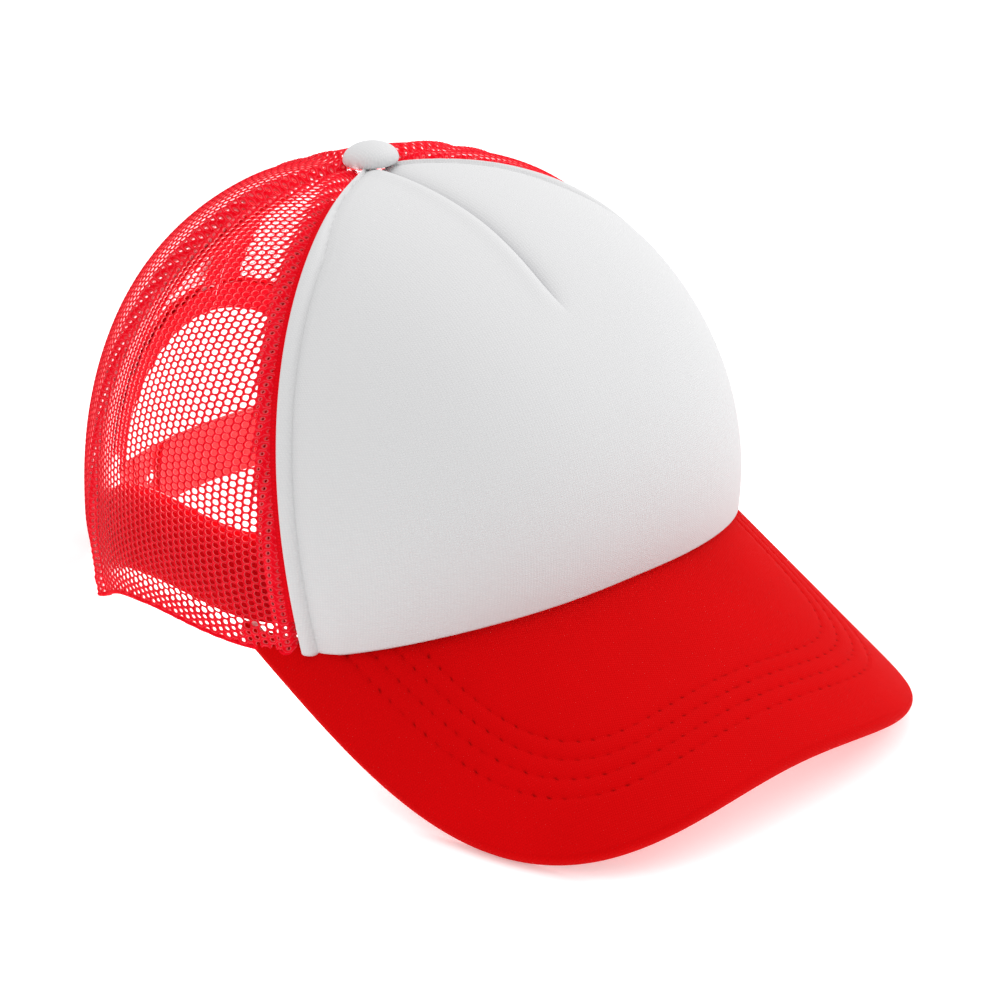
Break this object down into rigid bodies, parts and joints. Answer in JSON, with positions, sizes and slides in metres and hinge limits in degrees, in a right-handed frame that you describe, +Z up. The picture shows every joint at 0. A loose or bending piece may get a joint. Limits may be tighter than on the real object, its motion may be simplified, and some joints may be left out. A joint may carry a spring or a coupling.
{
  "type": "trucker cap",
  "caption": "Trucker cap with a smooth foam-backed front, see-through mesh sides and rear, curved stitched peak, covered top button and plastic snap closure.",
  "frame": {"origin": "centre of the cap's bounding box on the surface it rests on, standing on its rear rim and the two front corners of its peak", "axes": "+Z up from that surface, -Y towards the tip of the peak, +X towards the wearer's left"},
  "size_m": [0.176, 0.242, 0.1287],
  "materials": {
    "white_knit": "fine matt tricot knit",
    "foam": "open-cell foam laminate",
    "red_mesh": "polyester raschel mesh",
    "red_tape": "woven seam tape",
    "red_band": "brushed sweatband cloth",
    "red_twill": "fine weave",
    "white_label": "blank satin label",
    "peak_board": "moulded board",
    "red_plastic": "moulded snap strap",
    "aluminium": "stamped"
  },
  "bodies": {
    "crown": {"front_panel_face": "white_knit", "front_panel_foam": "foam", "side_mesh_left": "red_mesh", "side_mesh_right": "red_mesh", "rear_mesh_left": "red_mesh", "rear_mesh_right": "red_mesh", "front_seam_tape_left": "red_tape", "front_seam_tape_right": "red_tape", "side_seam_tape_left": "red_tape", "side_seam_tape_right": "red_tape", "rear_seam_tape": "red_tape", "opening_binding": "red_tape", "sweatband": "red_band", "sweatband_interlining": "foam", "care_label": "white_label", "peak_top_cover": "red_twill", "peak_board": "peak_board", "peak_under_cover": "red_twill", "button_cover": "white_knit", "button_shell": "aluminium", "button_washer": "aluminium", "hole_strap_tab": "red_plastic", "stud_strap_tab": "red_plastic"},
    "hole_strap": {"hole_strap": "red_plastic"},
    "stud_strap": {"stud_strap": "red_plastic"}
  },
  "joints": [
    {"name": "hole_strap_hinge", "type": "hinge", "parent": "crown", "child": "hole_strap", "pos_m": [-0.038, 0.10609, 0.00237], "axis": [0, 0.049, 0.9988], "range_deg": [0, 70]},
    {"name": "stud_strap_hinge", "type": "hinge", "parent": "crown", "child": "stud_strap", "pos_m": [0.038, 0.10438, 0.00246], "axis": [0, 0.049, 0.9988], "range_deg": [0, 35]}
  ]
}
